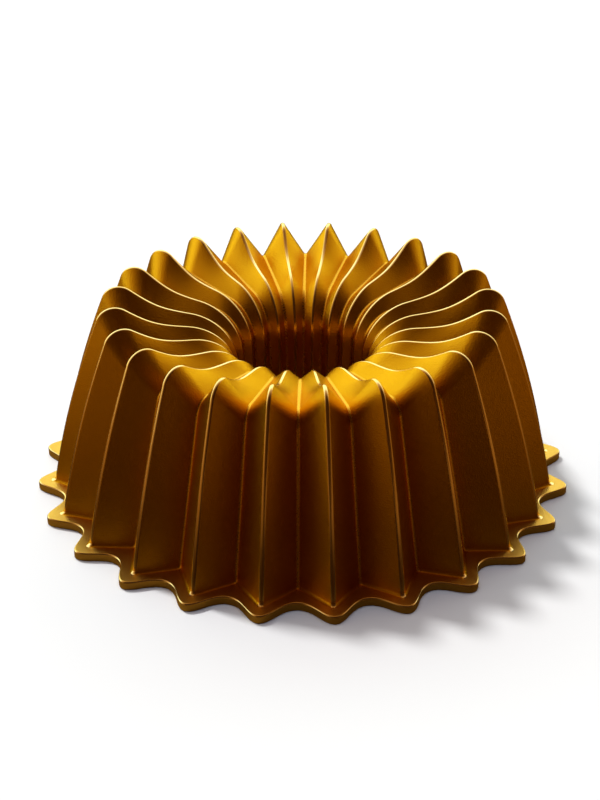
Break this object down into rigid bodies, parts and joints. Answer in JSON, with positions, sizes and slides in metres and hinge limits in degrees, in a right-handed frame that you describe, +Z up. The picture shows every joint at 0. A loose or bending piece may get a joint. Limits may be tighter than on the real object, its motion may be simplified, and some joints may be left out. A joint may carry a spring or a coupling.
{
  "type": "fluted tube pan",
  "caption": "Ring cake pan with sharp pleats round a centre tube, shown crown up on its flat lobed rim; the pleats shape the cake and the tube carries heat to its middle.",
  "frame": {"origin": "on the pan's axis, in the plane of the rim's underside that it rests on", "axes": "+Z up the pan's axis from the rim to the crown, with a valley between two ridges at the front, towards -Y"},
  "size_m": [0.258, 0.258, 0.0958],
  "materials": {
    "rim_gold": "cast aluminium with a satin gold baked coat",
    "body_gold": "cast aluminium with a satin gold baked coat, fine grain",
    "tube_gold": "cast aluminium with a satin gold baked coat"
  },
  "bodies": {
    "root": {"rim_flange": "rim_gold", "fluted_wall": "body_gold", "fluted_crown": "body_gold", "centre_tube": "tube_gold"}
  },
  "joints": []
}
